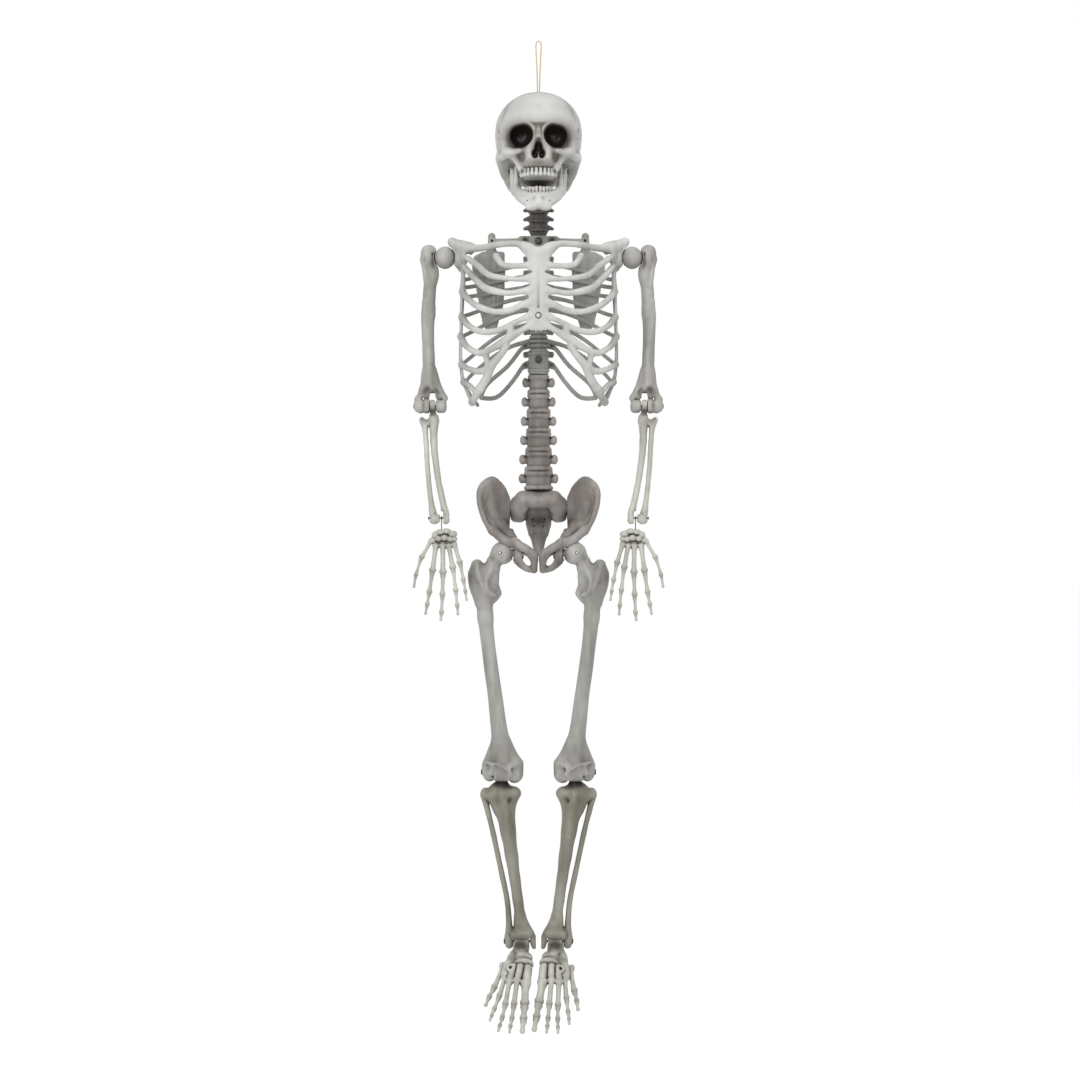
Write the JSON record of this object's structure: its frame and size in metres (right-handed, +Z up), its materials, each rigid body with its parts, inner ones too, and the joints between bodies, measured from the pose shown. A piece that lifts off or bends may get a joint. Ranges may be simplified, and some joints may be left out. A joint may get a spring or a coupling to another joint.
{
  "type": "halloween skeleton figure",
  "caption": "Life-size hanging plastic skeleton with a hollow skull, hinged jaw and screw-jointed neck, arms and legs, hung by a cord loop in the crown.",
  "frame": {"origin": "inside top of the hanging loop, where a hook carries the figure", "axes": "+Z up, the figure faces -Y, its left side is at +X"},
  "size_m": [0.404, 0.1832, 1.5798],
  "materials": {
    "pale_bone": "pale moulded plastic with brown antiquing in the recesses",
    "grey_bone": "grey moulded plastic with dark antiquing",
    "spine_bone": "mauve-grey moulded plastic with dark antiquing",
    "olive_bone": "olive-grey moulded plastic",
    "small_bone": "beige-green moulded plastic",
    "steel": "dark zinc-plated screws, pins and wire",
    "twine": "twisted tan cord"
  },
  "bodies": {
    "skull": {"skull_face_shell": "pale_bone", "skull_rear_shell": "pale_bone", "jaw_screw_left": "steel", "jaw_screw_right": "steel", "hanging_loop": "twine", "loop_knot": "twine"},
    "jaw": {"mandible": "pale_bone"},
    "neck_link": {"neck_swivel": "spine_bone", "neck_retaining_screw": "steel"},
    "torso": {"neck_pin": "steel", "cervical_spine": "spine_bone", "neck_screw": "steel", "rib_cage_front": "pale_bone", "rib_cage_rear": "spine_bone", "chest_screw": "steel", "waist_screw": "steel", "lumbar_spine": "spine_bone", "sacrum": "spine_bone", "scapula_left": "spine_bone", "scapula_right": "spine_bone", "scapula_screw_left": "steel", "scapula_screw_right": "steel", "hip_bone_left": "spine_bone", "hip_bone_right": "spine_bone", "sacral_screw_left": "steel", "sacral_screw_right": "steel"},
    "shoulder_left": {"shoulder_ball_left": "grey_bone", "shoulder_screw_left": "steel", "shoulder_pin_left": "steel"},
    "upper_arm_left": {"humerus_left": "grey_bone", "elbow_screw_left": "steel"},
    "forearm_left": {"forearm_left": "small_bone", "wrist_pin_left": "steel"},
    "hand_left": {"wrist_eye_left": "steel", "hand_left": "small_bone"},
    "hip_left": {"hip_link_left": "grey_bone", "hip_screw_left": "steel"},
    "thigh_left": {"femur_left": "grey_bone", "hip_pin_left": "steel", "knee_screw_left": "steel"},
    "shin_left": {"shin_left": "olive_bone", "ankle_screw_left": "steel"},
    "foot_left": {"foot_left": "small_bone"},
    "shoulder_right": {"shoulder_ball_right": "grey_bone", "shoulder_screw_right": "steel", "shoulder_pin_right": "steel"},
    "upper_arm_right": {"humerus_right": "grey_bone", "elbow_screw_right": "steel"},
    "forearm_right": {"forearm_right": "small_bone", "wrist_pin_right": "steel"},
    "hand_right": {"wrist_eye_right": "steel", "hand_right": "small_bone"},
    "hip_right": {"hip_link_right": "grey_bone", "hip_screw_right": "steel"},
    "thigh_right": {"femur_right": "grey_bone", "hip_pin_right": "steel", "knee_screw_right": "steel"},
    "shin_right": {"shin_right": "olive_bone", "ankle_screw_right": "steel"},
    "foot_right": {"foot_right": "small_bone"}
  },
  "joints": [
    {"name": "jaw_open", "type": "hinge", "parent": "skull", "child": "jaw", "pos_m": [0, -0.016, -0.212], "axis": [1, 0, 0], "range_deg": [-10, 12]},
    {"name": "neck_turn", "type": "hinge", "parent": "skull", "child": "neck_link", "pos_m": [0, 0.02, -0.238], "axis": [0, 0, 1], "range_deg": [-80, 80]},
    {"name": "neck_nod", "type": "hinge", "parent": "neck_link", "child": "torso", "pos_m": [0, 0.02, -0.251], "axis": [1, 0, 0], "range_deg": [-12, 10]},
    {"name": "shoulder_swing_left", "type": "hinge", "parent": "torso", "child": "shoulder_left", "pos_m": [0.151, 0, -0.348], "axis": [-1, 0, 0], "range_deg": [-35, 150]},
    {"name": "shoulder_raise_left", "type": "hinge", "parent": "shoulder_left", "child": "upper_arm_left", "pos_m": [0.151, 0, -0.348], "axis": [0, -1, 0], "range_deg": [0, 55]},
    {"name": "elbow_bend_left", "type": "hinge", "parent": "upper_arm_left", "child": "forearm_left", "pos_m": [0.171, 0.004, -0.587], "axis": [-1, 0, 0], "range_deg": [0, 105]},
    {"name": "wrist_swing_left", "type": "hinge", "parent": "forearm_left", "child": "hand_left", "pos_m": [0.155, -0.03, -0.768], "axis": [-1, 0, 0], "range_deg": [-70, 70]},
    {"name": "hip_swing_left", "type": "hinge", "parent": "torso", "child": "hip_left", "pos_m": [0.058, 0.002, -0.824], "axis": [-1, 0, 0], "range_deg": [-20, 95]},
    {"name": "hip_spread_left", "type": "hinge", "parent": "hip_left", "child": "thigh_left", "pos_m": [0.062, 0.002, -0.824], "axis": [0, -1, 0], "range_deg": [0, 30]},
    {"name": "knee_bend_left", "type": "hinge", "parent": "thigh_left", "child": "shin_left", "pos_m": [0.058, 0.002, -1.177], "axis": [1, 0, 0], "range_deg": [0, 105]},
    {"name": "ankle_bend_left", "type": "hinge", "parent": "shin_left", "child": "foot_left", "pos_m": [0.028, 0.008, -1.451], "axis": [-1, 0, 0], "range_deg": [-8, 50]},
    {"name": "shoulder_swing_right", "type": "hinge", "parent": "torso", "child": "shoulder_right", "pos_m": [-0.151, 0, -0.348], "axis": [-1, 0, 0], "range_deg": [-35, 150]},
    {"name": "shoulder_raise_right", "type": "hinge", "parent": "shoulder_right", "child": "upper_arm_right", "pos_m": [-0.151, 0, -0.348], "axis": [0, 1, 0], "range_deg": [0, 55]},
    {"name": "elbow_bend_right", "type": "hinge", "parent": "upper_arm_right", "child": "forearm_right", "pos_m": [-0.171, 0.004, -0.587], "axis": [-1, 0, 0], "range_deg": [0, 105]},
    {"name": "wrist_swing_right", "type": "hinge", "parent": "forearm_right", "child": "hand_right", "pos_m": [-0.155, -0.03, -0.768], "axis": [-1, 0, 0], "range_deg": [-70, 70]},
    {"name": "hip_swing_right", "type": "hinge", "parent": "torso", "child": "hip_right", "pos_m": [-0.058, 0.002, -0.824], "axis": [-1, 0, 0], "range_deg": [-20, 95]},
    {"name": "hip_spread_right", "type": "hinge", "parent": "hip_right", "child": "thigh_right", "pos_m": [-0.062, 0.002, -0.824], "axis": [0, 1, 0], "range_deg": [0, 30]},
    {"name": "knee_bend_right", "type": "hinge", "parent": "thigh_right", "child": "shin_right", "pos_m": [-0.058, 0.002, -1.177], "axis": [1, 0, 0], "range_deg": [0, 105]},
    {"name": "ankle_bend_right", "type": "hinge", "parent": "shin_right", "child": "foot_right", "pos_m": [-0.028, 0.008, -1.451], "axis": [-1, 0, 0], "range_deg": [-8, 50]}
  ]
}
